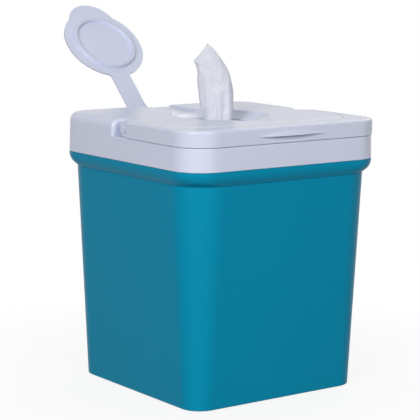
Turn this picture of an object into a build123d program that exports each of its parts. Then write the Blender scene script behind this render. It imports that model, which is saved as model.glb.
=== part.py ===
"""Countertop wipes dispenser: a tapered tub, a lift-off lid with a folding bail, and a flip cap.

Millimetres. +Z is up and the origin is at the middle of the tub's base. The finger lift of the
bail faces -Y, and the flip cap is hinged on the lid's back edge, at +Y. The cap stands open and
the bail lies folded.
"""

import os
from math import atan2, cos, radians, sin, sqrt, tan

from build123d import *

os.makedirs("parts", exist_ok=True)

# Fits and clearances
running_fit = 0.05  # radial clearance of a pin that turns
press_fit = 0.01  # radial clearance of a pin that is held
soft_gap = 0.3  # between a soft piece and what it rests on
seat_gap = 0.3  # between two hard pieces that rest on each other
slide_gap = 0.5  # beside a piece that slides or swings past another
clamp_gap = 0.1  # on each side of the soft flange that the retainer holds
cut_over = 1.0  # how far a cut runs past the surface it opens
near = 0.01  # tolerance for picking out edges by their place

# Tub
tub_base_width = 172.0
tub_base_corner = 17.8
tub_neck_top = 213.0
tub_neck_corner = 32.0
tub_wall = 2.2
tub_floor = 2.4
tub_foot_height = 1.6
tub_foot_width = 8.0
tub_base_round = 1.0
base_rib_width = 1.8
base_rib_pitch = 44.0
base_rib_count = 3
bead_bottom = 185.2
bead_top = 197.2
bead_slope_height = 5.6  # its underside leans out over this height
bead_upright = 0.3  # of its face that stays flat under the top's rounding
bead_top_round = 0.6
crease_depth = 0.5  # of the groove under the bead
crease_height = 1.0

# Lid
lid_width = 200.0
lid_corner = 26.3
lid_draft = 1.5  # degrees that each side leans in
lid_wall = 2.2
lid_top = 230.6
lid_top_round = 7.0
lid_neck_gap = 0.35
ledge_top = 216.7
ledge_edge_round = 1.0
plateau_edge_round = 1.2
flange_width = 9.8
flange_wall = 2.2
flange_inner_corner = 25.5
guide_rib_wall = 1.6
guide_rib_height = 8.0
roof_rib_wall = 1.4
roof_rib_depth = 4.0
roof_rib_count = 8
roof_rib_length = 140.0

# Bail
bail_arm_width = 13.2
bail_front_width = 24.2
bail_overhang = 0.3  # how far it stands proud of the lid's skirt
bail_inner_corner = 24.0
bail_side_gap = 0.6
bail_wall = 2.4
bail_top_round = 2.2
bail_foot_round = 0.5
bail_rib_wall = 1.6
bail_rib_pitch = 22.0
bail_front_rib_count = 7
bail_arm_rib_count = 2
bail_pivot_y = 3.0
bail_skin_end = -7.0
lug_width = 8.0
lug_relief = 0.35
pocket_end = 14.7
pocket_round = 3.0
lift_width = 71.0
lift_depth = 3.4
lift_scoop = 3.0
lift_back_margin = 4.0
lift_lip_height = 6.2  # of the lip's edge over the ledge
lift_rise = 4.0
scoop_sill = 0.6

# Bail pins
pin_radius = 2.6
pin_head_radius = 3.4
pin_head_height = 1.4
pin_boss_radius = 5.6
pin_boss_length = 8.0

# Dish in the lid's top, from the rim inwards
dish_radius = 43.0
dish_depth = 2.1
seat_radius = 41.3
seat_inner_radius = 38.5
well_radius = 31.8
well_depth = 5.1
pan_wall = 2.2
hole_radius = 24.0
throat_wall = 2.2
throat_depth = 3.7  # of the throat under the pan

# Orifice
collar_wall = 2.6
collar_drop = 1.6  # of the collar's top below the well's floor
collar_side_gap = 0.2
slit_width = 0.7
slit_reach = 15.0
membrane_valley_radius = 16.5
slit_count = 6
membrane_wall = 1.2
membrane_sag = 0.6
membrane_rise = 0.6
orifice_flange_width = 4.4
orifice_flange_wall = 1.5
retainer_height = 1.8
retainer_bore = 27.6
retainer_boss_wall = 2.2
retainer_overlap = 3.0
retainer_side_gap = 0.15

# Flip cap
cap_radius = 39.6
cap_thickness = 2.0
cap_corner_round = 4.0
cap_edge_round = 0.7
cap_open_angle = 135.7
tab_offset = 24.0
tab_radius = 24.7
strap_width = 19.8
strap_flare_start = 75.0
strap_flare_end = 90.0
strap_base_width = 28.0
channel_side_gap = 0.8
channel_draft = 30.0  # degrees that the channel's sides lean out
plug_radius = 31.0
plug_bore = 27.0
plug_height = 2.4
plug_edge_round = 0.5
seal_width = 2.6
seal_height = 1.0
seal_proud = 0.6
cap_hinge_overhang = 1.3
cap_hinge_drop = 10.6
cap_ear_radius = 2.6
cap_ear_width = 4.0
cap_stop_gap = 0.35
cap_pin_radius = 1.1
finger_dimple_radius = 16.0
finger_dimple_depth = 3.6

# Wipes
roll_radius = 79.0
roll_height = 152.0
roll_bore = 24.0
roll_edge_round = 3.0
strand_radius = 5.6
strand_bottom = 96.0
strand_knee = 178.0
strand_bend = 40.0
# Sections of the standing wipe: height over the lid's top, sideways shift, half-width, half-depth
wipe_sections = [
    (-6.2, -0.6, 9.5, 6.0),
    (-2.8, -0.9, 11.9, 7.0),
    (9.4, -2.3, 13.8, 8.0),
    (21.4, -3.4, 14.4, 8.5),
    (37.4, -5.7, 12.8, 8.0),
    (47.4, -9.5, 11.4, 6.5),
    (60.4, -10.2, 0.9, 0.9),
]
wipe_turn = -36.4  # the sheet's broad side, about the vertical


def slanted(bottom_size, top_size, height):
    """Size of the tapered tub at a height, from its sizes at the base and at the neck's top."""
    return bottom_size + (top_size - bottom_size) * height / tub_neck_top


def corner_reach(width, corner):
    """Distance from the middle of a rounded square to its outline, along the diagonal."""
    return width / sqrt(2) - corner * (sqrt(2) - 1)


# --- Places that follow from the sizes above ---
lid_half = lid_width / 2
skirt_bottom = bead_top + seat_gap
lid_lean = (lid_top - skirt_bottom) * tan(radians(lid_draft))
skirt_inner_half = lid_half - lid_wall
neck_half = skirt_inner_half - lid_neck_gap
neck_inner_half = neck_half - tub_wall
floor_top = tub_foot_height + tub_floor
bead_turn = bead_bottom + bead_slope_height
bead_foot_width = slanted(tub_base_width, 2 * neck_half, bead_bottom)
bead_foot_corner = slanted(tub_base_corner, tub_neck_corner, bead_bottom)
bead_foot_reach = corner_reach(bead_foot_width, bead_foot_corner)
bead_overhang = corner_reach(lid_width, lid_corner) - bead_foot_reach
bead_bend = atan2(bead_overhang, bead_slope_height)
bead_round = (bead_top - bead_turn - bead_top_round - bead_upright) / tan(bead_bend / 2)
roof_bottom = lid_top - lid_wall
flange_bottom = ledge_top - flange_wall

bail_bottom = ledge_top + seat_gap
lug_radius = (lid_top - bail_bottom) / 2 - lug_relief
bail_pivot_z = bail_bottom + lug_radius
bail_half = lid_half + bail_overhang
bail_inner_half = bail_half - bail_arm_width
bail_inner_front = bail_half - bail_front_width
plateau_half = bail_inner_half - bail_side_gap
plateau_front = bail_inner_front - bail_side_gap
plateau_corner = bail_inner_corner - bail_side_gap

dish_floor = lid_top - dish_depth
well_floor = lid_top - well_depth
pan_bottom = well_floor - pan_wall
collar_radius = hole_radius - collar_side_gap
collar_top = well_floor - collar_drop
throat_bottom = pan_bottom - throat_depth
orifice_flange_top = throat_bottom - clamp_gap
orifice_flange_bottom = orifice_flange_top - orifice_flange_wall
orifice_flange_radius = collar_radius + orifice_flange_width
retainer_top = orifice_flange_bottom - clamp_gap
retainer_bottom = retainer_top - retainer_height
retainer_radius = orifice_flange_radius + retainer_overlap
retainer_boss_radius = retainer_radius + retainer_side_gap

cap_hinge_y = lid_half + cap_hinge_overhang
cap_under = dish_floor + seat_gap
cap_hinge_z = cap_under - cap_hinge_drop
cap_lug_half = strap_base_width / 2 - cap_ear_width - seat_gap
ear_pocket_half = strap_base_width / 2 + slide_gap
ear_pocket_wall = cap_hinge_y - cap_ear_radius - seat_gap
open_turn = radians(cap_open_angle)
# The open cap's ears come to rest on the lower edge of their pockets.
ear_stop_reach = cap_ear_radius + cap_stop_gap + cap_hinge_overhang * cos(open_turn)
ear_pocket_floor = cap_hinge_z - ear_stop_reach / sin(open_turn)

# --- Tub ---
with BuildPart() as tub:
    with BuildSketch(Plane.XY):
        RectangleRounded(tub_base_width, tub_base_width, tub_base_corner)
    with BuildSketch(Plane.XY.offset(tub_neck_top)):
        RectangleRounded(2 * neck_half, 2 * neck_half, tub_neck_corner)
    loft()
    fillet(tub.faces().sort_by(Axis.Z)[0].edges(), tub_base_round)
    fillet(tub.faces().sort_by(Axis.Z)[-1].outer_wire().edges(), tub_wall / 4)
    # Rim bead: its underside leans out of the wall and rounds into its upright face
    with BuildSketch(Plane.XY.offset(bead_bottom)):
        RectangleRounded(bead_foot_width, bead_foot_width, bead_foot_corner)
    with BuildSketch(Plane.XY.offset(bead_turn)):
        RectangleRounded(lid_width, lid_width, lid_corner)
    loft()
    with BuildSketch(Plane.XY.offset(bead_turn)):
        RectangleRounded(lid_width, lid_width, lid_corner)
    extrude(amount=bead_top - bead_turn)
    bead_turn_edges = tub.edges().filter_by_position(Axis.Z, bead_turn - near, bead_turn + near)
    fillet(bead_turn_edges, bead_round)
    bead_upper = tub.faces().filter_by(GeomType.PLANE).filter_by_position(
        Axis.Z, bead_top - near, bead_top + near
    )
    fillet(bead_upper.sort_by(SortBy.AREA)[-1].outer_wire().edges(), bead_top_round)
    # Crease where the bead meets the wall
    crease_bottom = bead_bottom - crease_height
    with BuildSketch(Plane.XY.offset(crease_bottom)):
        RectangleRounded(lid_width, lid_width, lid_corner)
        crease_width = slanted(tub_base_width, 2 * neck_half, crease_bottom) - 2 * crease_depth
        crease_corner = slanted(tub_base_corner, tub_neck_corner, crease_bottom) - crease_depth
        RectangleRounded(crease_width, crease_width, crease_corner, mode=Mode.SUBTRACT)
    extrude(amount=crease_height, mode=Mode.SUBTRACT)
    # Hollow, with the same draft as the outside
    with BuildSketch(Plane.XY.offset(floor_top)):
        inner_width = slanted(tub_base_width, 2 * neck_half, floor_top) - 2 * tub_wall
        RectangleRounded(
            inner_width,
            inner_width,
            slanted(tub_base_corner, tub_neck_corner, floor_top) - tub_wall,
        )
    with BuildSketch(Plane.XY.offset(tub_neck_top)):
        RectangleRounded(2 * neck_inner_half, 2 * neck_inner_half, tub_neck_corner - tub_wall)
    loft(mode=Mode.SUBTRACT)
    # Standing rim and ribs under the floor
    with BuildSketch(Plane.XY):
        recess = tub_base_width - 2 * tub_foot_width
        RectangleRounded(recess, recess, tub_base_corner - tub_foot_width)
        with GridLocations(base_rib_pitch, 0, base_rib_count, 1):
            Rectangle(base_rib_width, tub_base_width, mode=Mode.SUBTRACT)
        with GridLocations(0, base_rib_pitch, 1, base_rib_count):
            Rectangle(tub_base_width, base_rib_width, mode=Mode.SUBTRACT)
    extrude(amount=tub_foot_height, mode=Mode.SUBTRACT)
tub.part.label = "tub"
export_step(tub.part, "parts/tub.step")

# --- Lid ---
# Plan of the part of the lid that reaches full height: the back half, and the plateau in the bail
with BuildSketch() as full_height_plan:
    with Locations((0, (pocket_end + lid_half) / 2)):
        Rectangle(lid_width, lid_half - pocket_end)
    with Locations((0, (lid_half - plateau_front) / 2)):
        RectangleRounded(2 * plateau_half, lid_half + plateau_front, plateau_corner)
    RectangleRounded(lid_width, lid_width, lid_corner, mode=Mode.INTERSECT)

with BuildSketch() as bail_channel_plan:
    with Locations((0, (pocket_end - lid_width) / 2)):
        Rectangle(lid_width + 2 * cut_over, pocket_end + lid_width)
    add(full_height_plan.sketch, mode=Mode.SUBTRACT)

# The hollow over the seal flange, with the wall left all round
with BuildPart() as upper_void:
    with BuildSketch(Plane.XY.offset(flange_bottom)):
        add(full_height_plan.sketch)
        offset(amount=-lid_wall, mode=Mode.REPLACE)
        void_inset = lid_lean + lid_wall
        void_width = lid_width - 2 * void_inset
        RectangleRounded(void_width, void_width, lid_corner - void_inset, mode=Mode.INTERSECT)
    extrude(amount=roof_bottom - flange_bottom)
    fillet(upper_void.faces().sort_by(Axis.Z)[-1].edges(), lid_top_round - lid_wall)
    flange_inner = skirt_inner_half - flange_width
    with BuildSketch(Plane.XY.offset(flange_bottom)):
        RectangleRounded(lid_width, lid_width, lid_corner)
        RectangleRounded(
            2 * flange_inner, 2 * flange_inner, flange_inner_corner, mode=Mode.SUBTRACT
        )
    extrude(amount=flange_wall, mode=Mode.SUBTRACT)

# Outer block of the lid with its softly rounded top
with BuildPart() as lid_block:
    with BuildSketch(Plane.XY.offset(skirt_bottom)):
        RectangleRounded(lid_width, lid_width, lid_corner)
    extrude(amount=lid_top - skirt_bottom, taper=lid_draft)
    fillet(lid_block.faces().sort_by(Axis.Z)[-1].edges(), lid_top_round)

with BuildPart() as lid:
    # Cut back to the ledge under the bail
    add(lid_block.part)
    with BuildSketch(Plane.XY.offset(ledge_top)):
        add(bail_channel_plan.sketch)
    extrude(amount=lid_top - ledge_top + cut_over, mode=Mode.SUBTRACT)
    pocket_edges = lid.edges().filter_by(
        lambda edge: abs(edge.center().Y - pocket_end) < near
        and abs(edge.center().X) > plateau_half + near
        and edge.center().Z > ledge_top + near
    )
    fillet(pocket_edges, pocket_round)
    plateau_edges = lid.edges().filter_by(
        lambda edge: abs(edge.center().Z - lid_top) < near
        and edge.center().Y < pocket_end - cut_over
        and abs(edge.center().X) < plateau_half + near
    )
    fillet(plateau_edges, plateau_edge_round)
    ledge_edges = lid.edges().filter_by(
        lambda edge: abs(edge.center().Z - ledge_top) < near
        and edge.center().Y < pocket_end - cut_over
        and (abs(edge.center().X) > bail_inner_half + cut_over
        or edge.center().Y < -bail_inner_front - cut_over)
    )
    fillet(ledge_edges, ledge_edge_round)
    # Hollow, with the flange that the gasket seals against and a guide rib inside the neck
    add(upper_void.part, mode=Mode.SUBTRACT)
    with BuildSketch(Plane.XY.offset(skirt_bottom)):
        RectangleRounded(2 * skirt_inner_half, 2 * skirt_inner_half, lid_corner - lid_wall)
    extrude(amount=flange_bottom - skirt_bottom, mode=Mode.SUBTRACT)
    guide_half = neck_inner_half - slide_gap
    guide_corner = tub_neck_corner - tub_wall - slide_gap
    with BuildSketch(Plane.XY.offset(flange_bottom)):
        RectangleRounded(2 * guide_half, 2 * guide_half, guide_corner)
        offset(amount=-guide_rib_wall, mode=Mode.SUBTRACT)
    extrude(amount=-guide_rib_height)
    # Ribs under the roof, from the dish to the walls
    with BuildSketch(Plane.XY.offset(roof_bottom)):
        with PolarLocations(0, roof_rib_count, start_angle=180 / roof_rib_count):
            with Locations((lid_half / 2, 0)):
                Rectangle(roof_rib_length, roof_rib_wall)
        add(full_height_plan.sketch, mode=Mode.INTERSECT)
    extrude(amount=-roof_rib_depth)
    # Pan of the dish and the boss that the retainer snaps into
    with BuildSketch(Plane.XY.offset(roof_bottom)):
        Circle(dish_radius + pan_wall)
    extrude(amount=pan_bottom - roof_bottom)
    with BuildSketch(Plane.XY.offset(pan_bottom)):
        Circle(hole_radius + throat_wall)
    extrude(amount=throat_bottom - pan_bottom)
    with BuildSketch(Plane.XY.offset(pan_bottom)):
        Circle(retainer_boss_radius + retainer_boss_wall)
        Circle(retainer_boss_radius, mode=Mode.SUBTRACT)
    extrude(amount=retainer_bottom - pan_bottom)
    # Thicker roof under the strap channel, the tab's recess and the finger dimple
    with BuildSketch(Plane.XY.offset(roof_bottom)):
        with Locations((0, skirt_inner_half / 2)):
            Rectangle(2 * (ear_pocket_half + lid_wall), skirt_inner_half)
        with Locations((0, -tab_offset)):
            Circle(tab_radius + slide_gap + lid_wall)
        with Locations((0, -tab_offset - tab_radius)):
            Circle(finger_dimple_radius + lid_wall / 2)
    extrude(amount=-finger_dimple_depth)
    # Back wall behind the ears' pockets, and the lug of the cap's hinge
    with BuildSketch(Plane.XY.offset(roof_bottom)):
        with Locations((0, (skirt_inner_half + ear_pocket_wall - lid_wall) / 2)):
            Rectangle(
                2 * (ear_pocket_half + lid_wall), skirt_inner_half - ear_pocket_wall + lid_wall
            )
    extrude(amount=flange_bottom - roof_bottom)
    # What stands inside keeps within the rounded outside
    add(lid_block.part, mode=Mode.INTERSECT)
    # Bosses of the bail's pins
    for side in (-1, 1):
        with BuildSketch(
            Plane(
                origin=(side * (plateau_half - lid_wall), bail_pivot_y, bail_pivot_z),
                z_dir=(-side, 0, 0),
            )
        ):
            Circle(pin_boss_radius)
        extrude(amount=pin_boss_length)
        with BuildSketch(
            Plane(
                origin=(side * (plateau_half + cut_over), bail_pivot_y, bail_pivot_z),
                z_dir=(-side, 0, 0),
            )
        ):
            Circle(pin_radius + press_fit)
        extrude(amount=pin_boss_length + lid_wall + 2 * cut_over, mode=Mode.SUBTRACT)
    # Dish, orifice hole, strap channel, tab recess and finger dimple
    with BuildSketch(Plane.XZ):
        Polygon(
            (0, lid_top + cut_over),
            (0, well_floor),
            (well_radius, well_floor),
            (seat_inner_radius, dish_floor),
            (seat_radius, dish_floor),
            (dish_radius, lid_top),
            (dish_radius, lid_top + cut_over),
            align=None,
        )
    revolve(axis=Axis.Z, mode=Mode.SUBTRACT)
    with BuildSketch(Plane.XY.offset(throat_bottom - cut_over)):
        Circle(hole_radius)
    extrude(amount=throat_depth + pan_wall + 2 * cut_over, mode=Mode.SUBTRACT)
    # Their sides lean out, so each is a loft from the floor to above the lid's top
    channel_floor_half = strap_width / 2 + channel_side_gap
    channel_end_half = ear_pocket_half + channel_side_gap - slide_gap / 2
    channel_cut = lid_top - dish_floor + cut_over
    channel_spread = channel_cut * tan(radians(channel_draft))
    for height, spread in ((0, 0), (channel_cut, channel_spread)):
        with BuildSketch(Plane.XY.offset(dish_floor + height)):
            Polygon(
                (-channel_floor_half - spread, 0),
                (channel_floor_half + spread, 0),
                (channel_floor_half + spread, strap_flare_start),
                (channel_end_half + spread, strap_flare_end),
                (channel_end_half + spread, lid_half + cut_over),
                (-channel_end_half - spread, lid_half + cut_over),
                (-channel_end_half - spread, strap_flare_end),
                (-channel_floor_half - spread, strap_flare_start),
                align=None,
            )
    loft(mode=Mode.SUBTRACT)
    for height, spread in ((0, 0), (channel_cut, channel_spread)):
        with BuildSketch(Plane.XY.offset(dish_floor + height)):
            with Locations((0, -tab_offset)):
                Circle(tab_radius + slide_gap + channel_side_gap + spread)
    loft(mode=Mode.SUBTRACT)
    dimple_ball = (finger_dimple_radius**2 + finger_dimple_depth**2) / (2 * finger_dimple_depth)
    with Locations((0, -tab_offset - tab_radius, lid_top + dimple_ball - finger_dimple_depth)):
        Sphere(dimple_ball, mode=Mode.SUBTRACT)
    # Pockets of the cap's ears, then the lug between them with its pin bore
    with BuildSketch(Plane.XY.offset(ear_pocket_floor)):
        with Locations((0, (ear_pocket_wall + lid_half + cut_over) / 2)):
            Rectangle(2 * ear_pocket_half, lid_half + cut_over - ear_pocket_wall)
    extrude(amount=lid_top - ear_pocket_floor + cut_over, mode=Mode.SUBTRACT)
    with BuildSketch(Plane(origin=(-cap_lug_half, 0, 0), x_dir=(0, 1, 0), z_dir=(1, 0, 0))):
        with Locations((cap_hinge_y, cap_hinge_z)):
            Circle(cap_ear_radius)
        lug_root = ear_pocket_wall - lid_wall / 2
        with Locations(((cap_hinge_y + lug_root) / 2, cap_hinge_z)):
            Rectangle(cap_hinge_y - lug_root, 2 * cap_ear_radius)
        with Locations((cap_hinge_y, cap_hinge_z)):
            Circle(cap_pin_radius + press_fit, mode=Mode.SUBTRACT)
    extrude(amount=2 * cap_lug_half)
lid.part.label = "lid"
export_step(lid.part, "parts/lid.step")

# --- Gasket between the lid's flange and the tub's neck ---
with BuildPart() as lid_gasket:
    with BuildSketch(Plane.XY.offset(tub_neck_top + soft_gap)):
        gasket_half = skirt_inner_half - soft_gap
        RectangleRounded(2 * gasket_half, 2 * gasket_half, tub_neck_corner)
        gasket_wall = gasket_half - guide_half - soft_gap
        offset(amount=-gasket_wall, mode=Mode.SUBTRACT)
    extrude(amount=flange_bottom - tub_neck_top - soft_gap - press_fit)
lid_gasket.part.label = "lid_gasket"
export_step(lid_gasket.part, "parts/lid_gasket.step")

# --- Bail: an open-bottomed channel bent round the front of the lid ---
# Its finger lift is a lip that stands out of the front, over a scoop; both are cut from wide cones.
lip_edge = ledge_top + lift_lip_height
lip_arc = (lift_width**2 / 4 + lift_depth**2) / (2 * lift_depth)
with BuildPart() as lift_lip:
    with Locations((0, lip_arc - bail_half - lift_depth, lip_edge)):
        Cone(
            lip_arc,
            lip_arc - lift_depth,
            lift_rise,
            align=(Align.CENTER, Align.CENTER, Align.MIN),
        )
    with Locations((0, -bail_half, lip_edge)):
        Box(lift_width, 3 * lift_depth, 3 * lift_rise, mode=Mode.INTERSECT)

scoop_arc = (lift_width**2 / 4 + lift_scoop**2) / (2 * lift_scoop)
scoop_height = lip_edge - bail_bottom - scoop_sill
with BuildPart() as scoop_cut:
    with Locations((0, lift_scoop - bail_half - scoop_arc, lip_edge)):
        Cone(
            scoop_arc - lift_scoop,
            scoop_arc,
            scoop_height,
            align=(Align.CENTER, Align.CENTER, Align.MAX),
        )

with BuildPart() as carry_handle:
    with BuildSketch(Plane.XY.offset(bail_bottom)) as bail_plan:
        RectangleRounded(2 * bail_half, 2 * bail_half, lid_corner + bail_overhang)
        with Locations((0, (bail_half - bail_inner_front) / 2)):
            RectangleRounded(
                2 * bail_inner_half,
                bail_half + bail_inner_front,
                bail_inner_corner,
                mode=Mode.SUBTRACT,
            )
        with Locations((0, (bail_skin_end + lid_width) / 2)):
            Rectangle(lid_width + 2 * cut_over, lid_width - bail_skin_end, mode=Mode.SUBTRACT)
    extrude(amount=lid_top - bail_bottom)
    bail_outer_edges = carry_handle.edges().filter_by(
        lambda edge: abs(edge.center().Z - lid_top) < near
        and edge.center().Y < bail_skin_end - cut_over
        and (abs(edge.center().X) > bail_inner_half + cut_over
        or edge.center().Y < -bail_inner_front - cut_over)
    )
    fillet(bail_outer_edges, bail_top_round)
    bail_inner_edges = carry_handle.edges().filter_by(
        lambda edge: abs(edge.center().Z - lid_top) < near
        and edge.center().Y < bail_skin_end - cut_over
        and abs(edge.center().X) < bail_inner_half + near
        and edge.center().Y > -bail_inner_front - near
    )
    fillet(bail_inner_edges, plateau_edge_round)
    bail_foot_edges = carry_handle.edges().filter_by(
        lambda edge: abs(edge.center().Z - bail_bottom) < near
        and edge.center().Y < bail_skin_end - cut_over
        and (abs(edge.center().X) > bail_inner_half + cut_over
        or edge.center().Y < -bail_inner_front - cut_over)
    )
    fillet(bail_foot_edges, bail_foot_round)
    # Channel under it, with cross ribs and a solid back for the finger lift
    with BuildSketch(Plane.XY.offset(bail_bottom)):
        add(bail_plan.sketch)
        offset(amount=-bail_wall, mode=Mode.REPLACE)
        with Locations((0, -bail_half)):
            Rectangle(
                lift_width + 2 * lift_back_margin,
                2 * (lift_scoop + bail_wall),
                mode=Mode.SUBTRACT,
            )
        with Locations((0, -bail_half + bail_front_width / 2)):
            with GridLocations(bail_rib_pitch, 0, bail_front_rib_count, 1):
                Rectangle(bail_rib_wall, bail_front_width, mode=Mode.SUBTRACT)
        with Locations((0, -bail_half / 2 + bail_rib_pitch / 2)):
            with GridLocations(
                2 * bail_half - bail_arm_width, bail_rib_pitch, 2, bail_arm_rib_count
            ):
                Rectangle(bail_arm_width, bail_rib_wall, mode=Mode.SUBTRACT)
    extrude(amount=lid_top - bail_bottom - bail_wall, mode=Mode.SUBTRACT)
    # Pivot lugs
    for side in (-1, 1):
        lug_plane = Plane(
            origin=(side * bail_inner_half, bail_pivot_y, bail_pivot_z),
            x_dir=(0, 1, 0),
            z_dir=(side, 0, 0),
        )
        lug_reach = bail_pivot_y - bail_skin_end + bail_wall
        with BuildSketch(lug_plane):
            Circle(lug_radius)
            with Locations((-lug_reach / 2, 0)):
                Rectangle(lug_reach, 2 * lug_radius)
            Circle(pin_radius + running_fit, mode=Mode.SUBTRACT)
        extrude(amount=lug_width)
    # Finger lift on the front
    add(lift_lip.part)
    add(scoop_cut.part, mode=Mode.SUBTRACT)
carry_handle.part.label = "carry_handle"
export_step(carry_handle.part, "parts/carry_handle.step")

# --- Pins of the bail ---
pin_seat = bail_inner_half + lug_width + seat_gap
pin_inner_end = plateau_half - lid_wall - pin_boss_length
for side, name in ((-1, "left_handle_pin"), (1, "right_handle_pin")):
    pin_plane = Plane(
        origin=(side * pin_inner_end, bail_pivot_y, bail_pivot_z),
        z_dir=(side, 0, 0),
    )
    with BuildPart() as handle_pin:
        with BuildSketch(pin_plane):
            Circle(pin_radius)
        extrude(amount=pin_seat - pin_inner_end)
        with BuildSketch(pin_plane.offset(pin_seat - pin_inner_end)):
            Circle(pin_head_radius)
        extrude(amount=pin_head_height)
        head_rim = handle_pin.edges().filter_by(
            lambda edge: abs(abs(edge.center().X) - pin_seat - pin_head_height) < near
        )
        fillet(head_rim, pin_head_height / 2)
    handle_pin.part.label = name
    export_step(handle_pin.part, f"parts/{name}.step")

# --- Orifice: a soft collar with a membrane that is slit into petals ---
slit_hole_radius = strand_radius + slide_gap
collar_bore = collar_radius - collar_wall
valley = collar_top - membrane_sag
petal_tip = valley + membrane_rise
with BuildPart() as orifice_diaphragm:
    with BuildSketch(Plane.XZ):
        Polygon(
            (orifice_flange_radius, orifice_flange_bottom),
            (orifice_flange_radius, orifice_flange_top),
            (collar_radius, orifice_flange_top),
            (collar_radius, collar_top - collar_wall / 3),
            (collar_radius - collar_wall / 3, collar_top),
            (collar_bore, collar_top),
            (membrane_valley_radius, valley),
            (slit_hole_radius, petal_tip),
            (slit_hole_radius, petal_tip - membrane_wall),
            (membrane_valley_radius, valley - membrane_wall),
            (collar_bore, collar_top - membrane_sag),
            (collar_bore, orifice_flange_bottom),
            align=None,
        )
    revolve(axis=Axis.Z)
    with BuildSketch(Plane.XY.offset(valley - membrane_wall - cut_over)):
        with PolarLocations(slit_reach / 2, slit_count):
            Rectangle(slit_reach, slit_width)
    extrude(amount=membrane_wall + membrane_rise + 2 * cut_over, mode=Mode.SUBTRACT)
orifice_diaphragm.part.label = "orifice_diaphragm"
export_step(orifice_diaphragm.part, "parts/orifice_diaphragm.step")

with BuildPart() as orifice_retainer:
    with BuildSketch(Plane.XY.offset(retainer_bottom)):
        Circle(retainer_radius)
        Circle(retainer_bore, mode=Mode.SUBTRACT)
    extrude(amount=retainer_height)
    chamfer(orifice_retainer.edges(), retainer_height / 5)
orifice_retainer.part.label = "orifice_retainer"
export_step(orifice_retainer.part, "parts/orifice_retainer.step")

# --- Flip cap, drawn about its hinge: local y runs to the disc, local z is up when it is shut ---
cap_plane = Plane(
    origin=(0, cap_hinge_y, cap_hinge_z),
    x_dir=(-1, 0, 0),
    z_dir=(0, sin(open_turn), cos(open_turn)),
)
ear_plane = Plane(
    origin=(strap_base_width / 2, cap_hinge_y, cap_hinge_z),
    x_dir=(0, -cos(open_turn), sin(open_turn)),
    z_dir=(-1, 0, 0),
)
seal_radius = (plug_radius + plug_bore) / 2
cap_axis = Axis((0, cap_hinge_y, cap_hinge_z), tuple(cap_plane.z_dir))
with BuildPart() as flip_cap:
    with BuildSketch(cap_plane.offset(cap_hinge_drop)) as cap_outline:
        with Locations((0, cap_hinge_y)):
            Circle(cap_radius)
        with Locations((0, cap_hinge_y + tab_offset)):
            Circle(tab_radius)
        Polygon(
            (-strap_width / 2, cap_hinge_y),
            (strap_width / 2, cap_hinge_y),
            (strap_width / 2, cap_hinge_y - strap_flare_start),
            (strap_base_width / 2, cap_hinge_y - strap_flare_end),
            (strap_base_width / 2, -cap_ear_radius),
            (-strap_base_width / 2, -cap_ear_radius),
            (-strap_base_width / 2, cap_hinge_y - strap_flare_end),
            (-strap_width / 2, cap_hinge_y - strap_flare_start),
            align=None,
        )
        fillet(cap_outline.vertices().filter_by(lambda corner: corner.Y > 0), cap_corner_round)
    extrude(amount=cap_thickness)
    fillet(flip_cap.faces().sort_by(cap_axis)[-1].edges(), cap_edge_round)
    # Plug ring with a groove for its seal
    with BuildSketch(cap_plane.offset(cap_hinge_drop)):
        with Locations((0, cap_hinge_y)):
            Circle(plug_radius)
            Circle(plug_bore, mode=Mode.SUBTRACT)
    extrude(amount=-plug_height)
    plug_rims = flip_cap.faces().sort_by(cap_axis)[0].edges()
    fillet(plug_rims, plug_edge_round)
    with BuildSketch(cap_plane.offset(cap_hinge_drop - plug_height)):
        with Locations((0, cap_hinge_y)):
            Circle(seal_radius + seal_width / 2 + press_fit)
            Circle(seal_radius - seal_width / 2 - press_fit, mode=Mode.SUBTRACT)
    extrude(amount=seal_height - seal_proud, mode=Mode.SUBTRACT)
    # Ears that turn on the hinge pin
    for ear_start in (0, strap_base_width - cap_ear_width):
        with BuildSketch(ear_plane.offset(ear_start)):
            Circle(cap_ear_radius)
            with Locations((0, cap_hinge_drop / 2)):
                Rectangle(2 * cap_ear_radius, cap_hinge_drop)
            Circle(cap_pin_radius + running_fit, mode=Mode.SUBTRACT)
        extrude(amount=cap_ear_width)
flip_cap.part.label = "flip_cap"
export_step(flip_cap.part, "parts/flip_cap.step")

with BuildPart() as cap_seal_ring:
    with BuildSketch(cap_plane.offset(cap_hinge_drop - plug_height - seal_proud)):
        with Locations((0, cap_hinge_y)):
            Circle(seal_radius + seal_width / 2)
            Circle(seal_radius - seal_width / 2, mode=Mode.SUBTRACT)
    extrude(amount=seal_height)
    seal_rims = cap_seal_ring.faces().sort_by(cap_axis)[0].edges()
    fillet(seal_rims, seal_proud / 2)
cap_seal_ring.part.label = "cap_seal_ring"
export_step(cap_seal_ring.part, "parts/cap_seal_ring.step")

with BuildPart() as cap_hinge_pin:
    with BuildSketch(
        Plane(origin=(-strap_base_width / 2, cap_hinge_y, cap_hinge_z), z_dir=(1, 0, 0))
    ):
        Circle(cap_pin_radius)
    extrude(amount=strap_base_width)
cap_hinge_pin.part.label = "cap_hinge_pin"
export_step(cap_hinge_pin.part, "parts/cap_hinge_pin.step")

# --- Wipes: the roll, the strand drawn from its middle, and the sheet that stands out of the lid ---
roll_bottom = floor_top + soft_gap
with BuildPart() as wipes_roll:
    with BuildSketch(Plane.XY.offset(roll_bottom)):
        Circle(roll_radius)
        Circle(roll_bore, mode=Mode.SUBTRACT)
    extrude(amount=roll_height)
    fillet(wipes_roll.edges(), roll_edge_round)
wipes_roll.part.label = "wipes_roll"
export_step(wipes_roll.part, "parts/wipes_roll.step")

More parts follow.
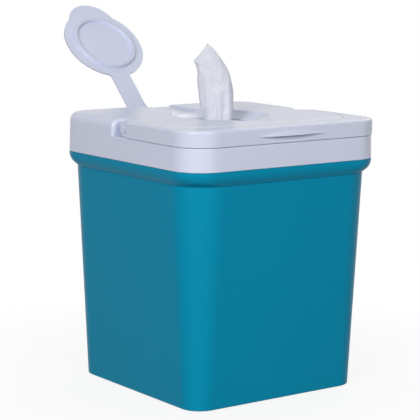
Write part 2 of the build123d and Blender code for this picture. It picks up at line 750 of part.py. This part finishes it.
wipe_bottom = lid_top + wipe_sections[0][0]
strand_lean = roll_bore - strand_radius - soft_gap
with BuildPart() as feed_strand:
    strand_top = wipe_bottom - soft_gap
    with BuildLine() as strand_path:
        FilletPolyline(
            (0, 0, strand_top),
            (0, 0, strand_knee),
            (0, strand_lean, strand_bottom),
            radius=strand_bend,
        )
    with BuildSketch(Plane(origin=(0, 0, strand_top), z_dir=(0, 0, -1))):
        Circle(strand_radius)
    sweep(path=strand_path)
feed_strand.part.label = "feed_strand"
export_step(feed_strand.part, "parts/feed_strand.step")

turn = radians(wipe_turn)
with BuildPart() as pulled_wipe:
    for rise, shift, half_width, half_depth in wipe_sections:
        section_plane = Plane(
            origin=(shift * cos(turn), shift * sin(turn), lid_top + rise),
            x_dir=(cos(turn), sin(turn), 0),
            z_dir=(0, 0, 1),
        )
        with BuildSketch(section_plane):
            Ellipse(half_width, half_depth)
    loft()
pulled_wipe.part.label = "pulled_wipe"
export_step(pulled_wipe.part, "parts/pulled_wipe.step")
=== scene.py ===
"""Looks of the countertop wipes dispenser: moulded plastics, the cloth of the wipes, camera and light.

The rigid pieces are the CAD nodes with procedural materials. The roll, the strand that is drawn from its
middle and the wipe that stands out of the lid are cloth, built here and set where their solids are.
"""

import math

import bpy
from mathutils import Matrix, Vector, noise


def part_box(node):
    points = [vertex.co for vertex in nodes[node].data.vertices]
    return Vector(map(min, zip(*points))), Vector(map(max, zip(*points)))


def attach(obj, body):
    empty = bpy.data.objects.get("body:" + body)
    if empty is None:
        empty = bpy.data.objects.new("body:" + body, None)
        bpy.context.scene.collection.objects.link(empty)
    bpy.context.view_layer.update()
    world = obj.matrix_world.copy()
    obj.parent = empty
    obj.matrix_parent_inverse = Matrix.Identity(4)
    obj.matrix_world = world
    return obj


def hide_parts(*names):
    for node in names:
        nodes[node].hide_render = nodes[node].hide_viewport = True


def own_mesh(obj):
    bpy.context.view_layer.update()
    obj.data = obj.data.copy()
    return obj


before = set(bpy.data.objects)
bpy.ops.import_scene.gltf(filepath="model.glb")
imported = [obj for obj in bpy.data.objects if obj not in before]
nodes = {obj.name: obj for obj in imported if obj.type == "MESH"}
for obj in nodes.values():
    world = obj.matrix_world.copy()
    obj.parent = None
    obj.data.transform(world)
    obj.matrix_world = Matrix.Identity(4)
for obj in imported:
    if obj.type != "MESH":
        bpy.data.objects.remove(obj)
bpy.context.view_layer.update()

millimetre = 0.001

# ---------------------------------------------------------------- camera

camera_place = Vector((-0.872, -1.172, 0.380))
camera_yaw = math.radians(36.373)  # turned from +Y towards +X
camera_pitch = math.radians(9.03)  # down
camera_roll = math.radians(0.51)
photo_pixels = 420
focal_pixels = 1714
sensor_width = 36.0  # mm


def make_camera():
    ahead = Vector((
        math.sin(camera_yaw) * math.cos(camera_pitch),
        math.cos(camera_yaw) * math.cos(camera_pitch),
        -math.sin(camera_pitch),
    ))
    level_right = Vector((math.cos(camera_yaw), -math.sin(camera_yaw), 0))
    level_up = level_right.cross(ahead)
    right = math.cos(camera_roll) * level_right + math.sin(camera_roll) * level_up
    up = math.cos(camera_roll) * level_up - math.sin(camera_roll) * level_right
    data = bpy.data.cameras.new("camera")
    data.sensor_width = sensor_width
    data.lens = focal_pixels / photo_pixels * sensor_width
    data.clip_end = 20
    camera = bpy.data.objects.new("camera", data)
    turned = Matrix((right, up, -ahead)).transposed().to_4x4()
    camera.matrix_world = Matrix.Translation(camera_place) @ turned
    bpy.context.scene.collection.objects.link(camera)
    bpy.context.scene.camera = camera
    return right


view_right = make_camera()


# ---------------------------------------------------------------- materials

class Shader:
    """A Principled material with a few node-building shortcuts."""

    def __init__(self, name, colour, roughness, specular=0.5):
        self.material = bpy.data.materials.new(name)
        self.material.use_nodes = True
        self.tree = self.material.node_tree
        self.principled = self.tree.nodes["Principled BSDF"]
        self.place = self.add("ShaderNodeTexCoord").outputs["Object"]
        self.set("Base Color", (*colour, 1))
        self.set("Roughness", roughness)
        self.set("Specular IOR Level", specular)
        self.height = None

    def add(self, kind, **settings):
        node = self.tree.nodes.new(kind)
        for key, value in settings.items():
            setattr(node, key, value)
        return node

    def link(self, out, into):
        self.tree.links.new(out, into)

    def set(self, socket, value):
        self.principled.inputs[socket].default_value = value

    def stretched(self, stretch):
        mapping = self.add("ShaderNodeMapping")
        mapping.inputs["Scale"].default_value = stretch
        self.link(self.place, mapping.inputs["Vector"])
        return mapping.outputs["Vector"]

    def noise(self, scale, detail=2.0, stretch=None):
        """Noise from 0 to 1 with features about 1 / scale metres across."""
        node = self.add("ShaderNodeTexNoise")
        node.inputs["Scale"].default_value = scale
        node.inputs["Detail"].default_value = detail
        self.link(self.stretched(stretch) if stretch else self.place, node.inputs["Vector"])
        return node.outputs["Fac"]

    def cells(self, scale, stretch=None):
        node = self.add("ShaderNodeTexVoronoi")
        node.inputs["Scale"].default_value = scale
        self.link(self.stretched(stretch) if stretch else self.place, node.inputs["Vector"])
        return node.outputs["Distance"]

    def ramp(self, value, low, high, start=0.0, end=1.0):
        """value from low..high mapped on to start..end."""
        node = self.add("ShaderNodeMapRange")
        for socket, number in zip(("From Min", "From Max", "To Min", "To Max"), (low, high, start, end)):
            node.inputs[socket].default_value = number
        self.link(value, node.inputs["Value"])
        return node.outputs["Result"]

    def tint(self, factor, colour, amount):
        """Mixes colour into the base colour where factor is high, by amount at most."""
        mix = self.add("ShaderNodeMix", data_type="RGBA")
        into = self.principled.inputs["Base Color"]
        if into.is_linked:
            self.link(into.links[0].from_socket, mix.inputs["A"])
        else:
            mix.inputs["A"].default_value = into.default_value
        mix.inputs["B"].default_value = (*colour, 1)
        self.link(self.ramp(factor, 0, 1, 0, amount), mix.inputs["Factor"])
        self.link(mix.outputs["Result"], into)

    def sheen_varies(self, factor, low, high):
        self.link(self.ramp(factor, 0.3, 0.7, low, high), self.principled.inputs["Roughness"])

    def bump(self, height, depth, strength=1.0):
        """Adds relief of about depth metres; later calls add to earlier ones."""
        node = self.add("ShaderNodeBump")
        node.inputs["Distance"].default_value = depth
        node.inputs["Strength"].default_value = strength
        self.link(height, node.inputs["Height"])
        if self.height is not None:
            self.link(self.height, node.inputs["Normal"])
        self.height = node.outputs["Normal"]
        self.link(self.height, self.principled.inputs["Normal"])


def scaled(colour, factor):
    return tuple(channel * factor for channel in colour)


def moulded_plastic(name, colour, roughness, glow=0.0, specular=0.5):
    """Injection-moulded plastic: clouded flow marks, an eggshell grain, uneven gloss and faint rubs."""
    shader = Shader(name, colour, roughness, specular)
    clouds = shader.noise(14, 3, stretch=(1, 1, 0.5))
    shader.tint(shader.ramp(clouds, 0.35, 0.75), scaled(colour, 0.88), 0.25)
    specks = shader.cells(420)
    shader.tint(shader.ramp(specks, 0.16, 0.02), scaled(colour, 1.08), 0.06)
    shader.sheen_varies(shader.noise(9, 1), roughness * 0.985, roughness * 1.015)
    shader.bump(shader.noise(7, 1), 0.0003, 0.2)  # sink and warp of the walls
    shader.bump(shader.noise(1300, 2), 0.00002, 0.08)  # grain of the mould
    rubs = shader.noise(160, 6, stretch=(1, 1, 9))
    shader.bump(shader.ramp(rubs, 0.5, 0.95), 0.00001, 0.05)
    if glow:
        shader.set("Subsurface Weight", glow)
        shader.set("Subsurface Radius", (0.003, 0.003, 0.003))
        shader.set("Subsurface Scale", 0.6)
    return shader.material


def soft_rubber(name, colour):
    shader = Shader(name, colour, 0.5, 0.4)
    shader.tint(shader.ramp(shader.noise(60, 3), 0.4, 0.7), scaled(colour, 0.8), 0.4)
    shader.sheen_varies(shader.noise(200, 3), 0.42, 0.6)
    shader.bump(shader.noise(900, 3), 0.00005, 0.5)
    shader.set("Subsurface Weight", 0.2)
    shader.set("Subsurface Radius", (0.002, 0.002, 0.003))
    shader.set("Subsurface Scale", 0.5)
    return shader.material


def nonwoven(name, colour, shade):
    """Damp nonwoven: matted fibres, thin and thick patches, and a soft sheen."""
    shader = Shader(name, colour, 0.78, 0.25)
    shader.tint(shader.ramp(shader.noise(240, 5), 0.42, 0.66), shade, 0.25)
    shader.tint(shader.ramp(shader.noise(55, 3), 0.45, 0.75), shade, 0.25)
    shader.sheen_varies(shader.noise(120, 3), 0.66, 0.86)
    shader.bump(shader.noise(420, 5, stretch=(1, 1, 0.35)), 0.00025, 0.5)
    shader.bump(shader.cells(1500), 0.0001, 0.35)
    shader.set("Sheen Weight", 0.15)
    shader.set("Sheen Roughness", 0.4)
    shader.set("Subsurface Weight", 0.25)
    shader.set("Subsurface Radius", (0.004, 0.004, 0.005))
    shader.set("Subsurface Scale", 0.5)
    return shader.material


teal = (0.002, 0.268, 0.438)
cool_white = (0.67, 0.705, 0.855)
tub_plastic = moulded_plastic("tub_plastic", teal, 0.32, specular=0.06)
lid_plastic = moulded_plastic("lid_plastic", cool_white, 0.28, glow=0.06)
handle_plastic = moulded_plastic("handle_plastic", scaled(cool_white, 0.98), 0.27, glow=0.06)
cap_plastic = moulded_plastic("cap_plastic", cool_white, 0.32, glow=0.06)
pin_plastic = moulded_plastic("pin_plastic", scaled(cool_white, 1.03), 0.3)
retainer_plastic = moulded_plastic("retainer_plastic", scaled(cool_white, 0.9), 0.45)
# The diaphragm's rubber is coloured lighter than the lid's white as painted light: the extra brightness lifts
# the shade it lies in, down in the well under the lid's top, so that its edge beyond the near rim reads
# bright.
orifice_rubber = soft_rubber("orifice_rubber", (0.75, 0.78, 0.88))
seal_rubber = soft_rubber("seal_rubber", scaled(cool_white, 0.97))
wipe_cloth = nonwoven("wipe_cloth", (0.69, 0.70, 0.76), (0.56, 0.58, 0.67))
roll_cloth = nonwoven("roll_cloth", (0.76, 0.78, 0.84), (0.60, 0.63, 0.72))

looks = {
    "tub": tub_plastic,
    "lid": lid_plastic,
    "carry_handle": handle_plastic,
    "flip_cap": cap_plastic,
    "left_handle_pin": pin_plastic,
    "right_handle_pin": pin_plastic,
    "cap_hinge_pin": pin_plastic,
    "orifice_retainer": retainer_plastic,
    "orifice_diaphragm": orifice_rubber,
    "lid_gasket": seal_rubber,
    "cap_seal_ring": seal_rubber,
}
for name, material in looks.items():
    nodes[name].data.materials.clear()
    nodes[name].data.materials.append(material)


# ---------------------------------------------------------------- cloth

def grid_mesh(name, rows, closed_across, material):
    """A smooth mesh over rows of points; each row may close on itself."""
    across = len(rows[0])
    points = [point for row in rows for point in row]
    spans = across if closed_across else across - 1
    faces = []
    for i in range(len(rows) - 1):
        for j in range(spans):
            k = (j + 1) % across
            faces.append((i * across + j, i * across + k, (i + 1) * across + k, (i + 1) * across + j))
    mesh = bpy.data.meshes.new(name)
    mesh.from_pydata(points, [], faces)
    mesh.polygons.foreach_set("use_smooth", [True] * len(mesh.polygons))
    mesh.materials.append(material)
    piece = bpy.data.objects.new(name, mesh)
    bpy.context.scene.collection.objects.link(piece)
    return piece


def smooth(edge_low, edge_high, x):
    t = min(1.0, max(0.0, (x - edge_low) / (edge_high - edge_low)))
    return t * t * (3 - 2 * t)


def hump(x, centre, width):
    return math.exp(-(((x - centre) / width) ** 2))


def along(table, x):
    """Value at x of a curve through (x, value) pairs, smooth between them."""
    if x <= table[0][0]:
        return table[0][1]
    for i in range(len(table) - 1):
        (xa, a), (xb, b) = table[i], table[i + 1]
        if x <= xb:
            before = table[i - 1] if i > 0 else table[i]
            after = table[i + 2] if i + 2 < len(table) else table[i + 1]
            slope_a = (b - before[1]) / (xb - before[0])
            slope_b = (after[1] - a) / (after[0] - xa)
            h = xb - xa
            t = (x - xa) / h
            return (
                (1 + 2 * t) * (1 - t) ** 2 * a
                + t * (1 - t) ** 2 * h * slope_a
                + t * t * (3 - 2 * t) * b
                + t * t * (t - 1) * h * slope_b
            )
    return table[-1][1]


# The standing wipe, in millimetres over the lid's top: its left and right outline across the view, and how
# thick the gathered sheet is. It is drawn out by a corner, and its foot gathers into the orifice.
lid_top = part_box("lid")[1].z / millimetre
hem_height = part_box("feed_strand")[1].z / millimetre - lid_top
left_outline = [
    (-7.8, -6.0), (-6.5, -9.8), (-3.8, -12.7), (2.4, -14.5), (9.4, -16.6), (19.4, -17.9), (29.4, -19.0),
    (37.2, -18.9), (43.9, -20.9), (45.4, -21.9), (49.9, -18.0), (60.7, -10.4),
]
right_outline = [
    (-7.8, 5.0), (-6.5, 8.4), (-3.8, 11.1), (2.4, 11.6), (9.4, 12.0), (19.4, 11.9), (29.4, 10.0),
    (37.2, 7.5), (45.4, 2.9), (50.8, -1.2), (55.1, -4.6), (60.7, -10.2),
]
thickness_outline = [
    (-7.8, 4.4), (-5.0, 6.4), (2.4, 8.0), (13.4, 8.8), (29.4, 8.2), (41.4, 5.2), (49.4, 2.6), (60.7, 0.25),
]
# Folds on the side that faces the camera: place across at the foot and at the top, height range,
# width, relief
front_folds = [
    (0.8, -1.0, -8, 21, 2.2, 1.3),
    (5.2, 4.4, 4, 21, 1.7, -1.6),
    (-2.6, -3.6, -8, 17, 1.5, -0.9),
    (-8.5, -12.5, -8, 38, 3.2, 0.9),
    (-12.0, -15.0, -6, 32, 1.6, -0.6),
    (8.8, 7.6, -8, 30, 2.2, 0.9),
    (-2.0, -5.0, 24, 38, 3.4, -1.3),
    (1.5, -4.5, 27, 48, 3.2, 0.8),
]
back_folds = [
    (-9.0, -12.0, -8, 36, 2.6, 1.2),
    (-4.0, -6.0, -8, 30, 1.9, -1.3),
    (1.0, -2.0, -8, 34, 2.6, 1.3),
    (6.0, 3.0, -8, 28, 1.8, -1.2),
    (9.0, 7.0, -8, 24, 1.8, 0.8),
]
flap_low_left = (-21.9, 44.6)  # lower edge of the folded-over corner, in the same coordinates
flap_low_right = (-5.0, 38.4)
flap_proud = 1.0
wrinkle_size = 0.8
wipe_rows = 96
wipe_points_across = 150
lap_step = 0.8
wipe_overlap = 0.05  # share of a turn by which the gathered sheet laps itself at the back


def fold_relief(folds, x, height):
    relief = 0.0
    for foot, top, low, high, width, depth in folds:
        share = min(1.0, max(0.0, (height - low) / (high - low)))
        ends = smooth(low - 3, low + 3, height) * (1 - smooth(high - 6, high + 3, height))
        relief += depth * ends * hump(x, foot + (top - foot) * share, width)
    return relief


def standing_wipe():
    """A sheet drawn up by one corner, lapped into a flattened tube with folds down its sides."""
    sideways = Vector((view_right.x, view_right.y, 0)).normalized()
    away = Vector((-sideways.y, sideways.x, 0))
    rows = []
    for i in range(wipe_rows):
        share = i / (wipe_rows - 1)
        height = hem_height + (left_outline[-1][0] - hem_height) * share
        left = along(left_outline, height)
        right = along(right_outline, height)
        depth = max(0.2, along(thickness_outline, height))
        middle = (left + right) / 2
        half = max(0.1, (right - left) / 2)
        row = []
        for j in range(wipe_points_across):
            turn = math.tau * ((1 + wipe_overlap) * j / (wipe_points_across - 1) + 0.25 - wipe_overlap / 2)
            lap = lap_step * (j / (wipe_points_across - 1) - 0.5)
            across = math.cos(turn)
            round_off = abs(math.sin(turn)) ** 0.75
            x = middle + half * across
            front = math.sin(turn) < 0
            relief = fold_relief(front_folds if front else back_folds, x, height)
            edge_fade = smooth(0.0, 0.55, abs(math.sin(turn)))
            y = depth * round_off
            y += relief * edge_fade * min(1.0, depth / 3)
            if front:
                step = flap_low_right[0] - flap_low_left[0]
                rise = flap_low_right[1] - flap_low_left[1]
                line = flap_low_left[1] + rise * (x - flap_low_left[0]) / step
                fade = 1 - smooth(-9.0, -3.0, x)
                y += flap_proud * fade * smooth(line - 0.5, line + 0.7, height) * (1 - smooth(54, 60, height))
            y = -y if front else y + lap
            wrinkle = noise.noise(Vector((x / 6.5, y / 6.5 + 9, height / 14.0)))
            wrinkle += 0.35 * noise.noise(Vector((x / 2.6 + 5, y / 2.6, height / 8.0)))
            out = Vector((across * 0.35, math.sin(turn), 0))
            free = smooth(hem_height, hem_height + 3, height) * (1 - smooth(56, 61, height))
            x += out.x * wrinkle * wrinkle_size * free
            y += out.y * wrinkle * wrinkle_size * free
            point = sideways * x + away * y + Vector((0, 0, lid_top + height))
            row.append(point * millimetre)
        rows.append(row)
    piece = grid_mesh("standing_wipe", rows, False, wipe_cloth)
    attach(piece, "lid_body")
    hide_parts("pulled_wipe")
    return piece


wipe = standing_wipe()
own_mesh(wipe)

strand_pleats = 14
strand_radius = (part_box("feed_strand")[1].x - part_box("feed_strand")[0].x) / 2
strand_knee = 0.178  # height at which it starts to lean
strand_bend = 0.008
strand_steps = 110
strand_points_per_pleat = 8
strand_twist = 70.0  # radians per metre


def feed_strand():
    """The next wipes, twisted into a rope that hangs in the roll's hollow middle."""
    low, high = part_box("feed_strand")
    lean = (high.y - 2 * strand_radius - low.y + strand_radius) / (strand_knee - low.z)
    rows = []
    for i in range(strand_steps + 1):
        z = high.z - 0.0002 - (high.z - low.z - 0.0012) * i / strand_steps
        drop = (strand_knee - z) / strand_bend
        y = lean * strand_bend * (math.log1p(math.exp(drop)) if drop < 30 else drop)
        row = []
        points = strand_pleats * strand_points_per_pleat
        for j in range(points):
            turn = math.tau * j / points
            wobble = noise.noise(Vector((math.cos(turn) * 2, math.sin(turn) * 2, z * 60)))
            pleat = 0.5 + 0.5 * math.cos(strand_pleats * turn + 1.5 * wobble)
            reach = strand_radius * (0.97 - 0.74 * (1 - pleat) ** 1.1 - 0.05 * wobble)
            spun = turn + strand_twist * z
            row.append(Vector((reach * math.cos(spun), y + reach * math.sin(spun), z)))
        rows.append(row)
    piece = grid_mesh("twisted_strand", rows, True, wipe_cloth)
    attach(piece, "lid_body")
    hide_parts("feed_strand")
    return piece


feed_strand()

roll_turns = 42
roll_steps_per_turn = 72
roll_bore = 0.0244
roll_web_share = 0.86  # of the pitch; the rest is air between the turns


def wound_roll():
    """The refill: one long perforated web wound on itself round a hollow middle."""
    low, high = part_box("wipes_roll")
    outer = high.x - 0.0004
    pitch = (outer - roll_bore) / (roll_turns + 1)
    web = roll_web_share * pitch
    rows = []
    steps = roll_turns * roll_steps_per_turn
    for i in range(steps + 1):
        turns = i / roll_steps_per_turn
        turn = math.tau * turns
        inner = roll_bore + pitch * turns
        uneven = noise.noise(Vector((math.cos(turn) * 0.6, math.sin(turn) * 0.6, turns * 0.8)))
        top = high.z - 0.0010 + 0.0008 * uneven
        bottom = low.z + 0.0004
        direction = Vector((math.cos(turn), math.sin(turn), 0))
        profile = [
            (inner, bottom),
            (inner, top - web / 3),
            (inner + web / 3, top),
            (inner + 2 * web / 3, top),
            (inner + web, top - web / 3),
            (inner + web, bottom),
        ]
        rows.append([direction * reach + Vector((0, 0, z)) for reach, z in profile])
    piece = grid_mesh("wound_roll", rows, True, roll_cloth)
    mesh = piece.data
    across = len(rows[0])
    ends = [tuple(range(across)), tuple(len(rows) * across - 1 - j for j in range(across))]
    points = [tuple(v.co) for v in mesh.vertices]
    faces = [tuple(p.vertices) for p in mesh.polygons] + ends
    mesh.clear_geometry()
    mesh.from_pydata(points, [], faces)
    mesh.polygons.foreach_set("use_smooth", [True] * len(mesh.polygons))
    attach(piece, "tub_body")
    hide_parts("wipes_roll")
    return piece


wound_roll()


# ---------------------------------------------------------------- floor and light

floor_fade_start = 0.10
floor_fade_end = 0.36
floor_glow = 0.86
floor_pale = (0.92, 0.93, 0.95)
floor_bounce = 0.2
floor_half = 3
floor_drop = 0.0005  # under the object's base
world_colour = (0.93, 0.96, 1.0)
world_strength = 0.16

lamp_aim = Vector((0, 0, 0.14))
# Name, place, width and height in metres, and power in watts
lamps = [
    ("left_box", (-1.70, -0.98, 0.93), 0.8, 1.0, 25.1),
    ("front_box", (-0.33, -1.92, 0.93), 0.8, 1.0, 15.4),
    ("top_box", (0.1, 0.5, 1.9), 0.9, 0.9, 2.6),
    ("back_box", (1.45, 0.75, 1.25), 1.0, 1.0, 7.0),
]


def seen_rays(tree):
    """1 for rays that show the background itself: straight to the camera, mirrored or through glass."""
    path = tree.nodes.new("ShaderNodeLightPath")
    total = path.outputs["Is Camera Ray"]
    for name in ("Is Glossy Ray", "Is Transmission Ray"):
        larger = tree.nodes.new("ShaderNodeMath")
        larger.operation = "MAXIMUM"
        tree.links.new(total, larger.inputs[0])
        tree.links.new(path.outputs[name], larger.inputs[1])
        total = larger.outputs[0]
    return total


def floor_paint():
    """Pale floor whose own shade fades into the white of the background away from the object.

    It sends back less light than it shows, so that the object isn't lit from below.
    """
    shader = Shader("floor_paint", floor_pale, 0.7, 0.2)
    shader.tint(shader.ramp(shader.noise(3, 2), 0.3, 0.7), scaled(floor_pale, 0.95), 0.2)
    unseen = shader.add("ShaderNodeMath", operation="SUBTRACT")
    unseen.inputs[0].default_value = 1
    shader.link(seen_rays(shader.tree), unseen.inputs[1])
    shader.tint(unseen.outputs[0], scaled(floor_pale, floor_bounce), 1)
    tree = shader.tree
    white = shader.add("ShaderNodeEmission")
    white.inputs["Color"].default_value = (1, 1, 1, 1)
    distance = shader.add("ShaderNodeVectorMath", operation="LENGTH")
    shader.link(shader.place, distance.inputs[0])
    fade = shader.ramp(distance.outputs["Value"], floor_fade_start, floor_fade_end, floor_glow, 1)
    share = shader.add("ShaderNodeMath", operation="MULTIPLY")
    shader.link(fade, share.inputs[0])
    shader.link(seen_rays(tree), share.inputs[1])
    mix = shader.add("ShaderNodeMixShader")
    shader.link(share.outputs[0], mix.inputs[0])
    shader.link(shader.principled.outputs[0], mix.inputs[1])
    shader.link(white.outputs[0], mix.inputs[2])
    shader.link(mix.outputs[0], tree.nodes["Material Output"].inputs["Surface"])
    return shader.material


def make_floor():
    floor_sides = (-floor_half, floor_half)
    floor = grid_mesh(
        "floor",
        [[Vector((x, y, -floor_drop)) for x in floor_sides] for y in floor_sides],
        False,
        floor_paint(),
    )


def area_light(name, place, width, height, power):
    data = bpy.data.lights.new(name, "AREA")
    data.shape = "RECTANGLE"
    data.size = width
    data.size_y = height
    data.energy = power
    lamp = bpy.data.objects.new(name, data)
    lamp.location = place
    lamp.rotation_euler = (lamp_aim - Vector(place)).to_track_quat("-Z", "Y").to_euler()
    bpy.context.scene.collection.objects.link(lamp)


def make_world():
    """White where the camera looks past the object, a softer pale light everywhere else."""
    world = bpy.data.worlds.new("studio")
    bpy.context.scene.world = world
    world.use_nodes = True
    tree = world.node_tree
    light = tree.nodes["Background"]
    light.inputs["Color"].default_value = (*world_colour, 1)
    light.inputs["Strength"].default_value = world_strength
    white = tree.nodes.new("ShaderNodeBackground")
    white.inputs["Color"].default_value = (1, 1, 1, 1)
    white.inputs["Strength"].default_value = 1.0
    mix = tree.nodes.new("ShaderNodeMixShader")
    tree.links.new(seen_rays(tree), mix.inputs[0])
    tree.links.new(light.outputs[0], mix.inputs[1])
    tree.links.new(white.outputs[0], mix.inputs[2])
    tree.links.new(mix.outputs[0], tree.nodes["World Output"].inputs["Surface"])


make_floor()
make_world()
for lamp_name, lamp_place, lamp_width, lamp_height, lamp_power in lamps:
    area_light(lamp_name, lamp_place, lamp_width, lamp_height, lamp_power)

scene = bpy.context.scene
scene.view_settings.view_transform = "Standard"
scene.view_settings.look = "None"
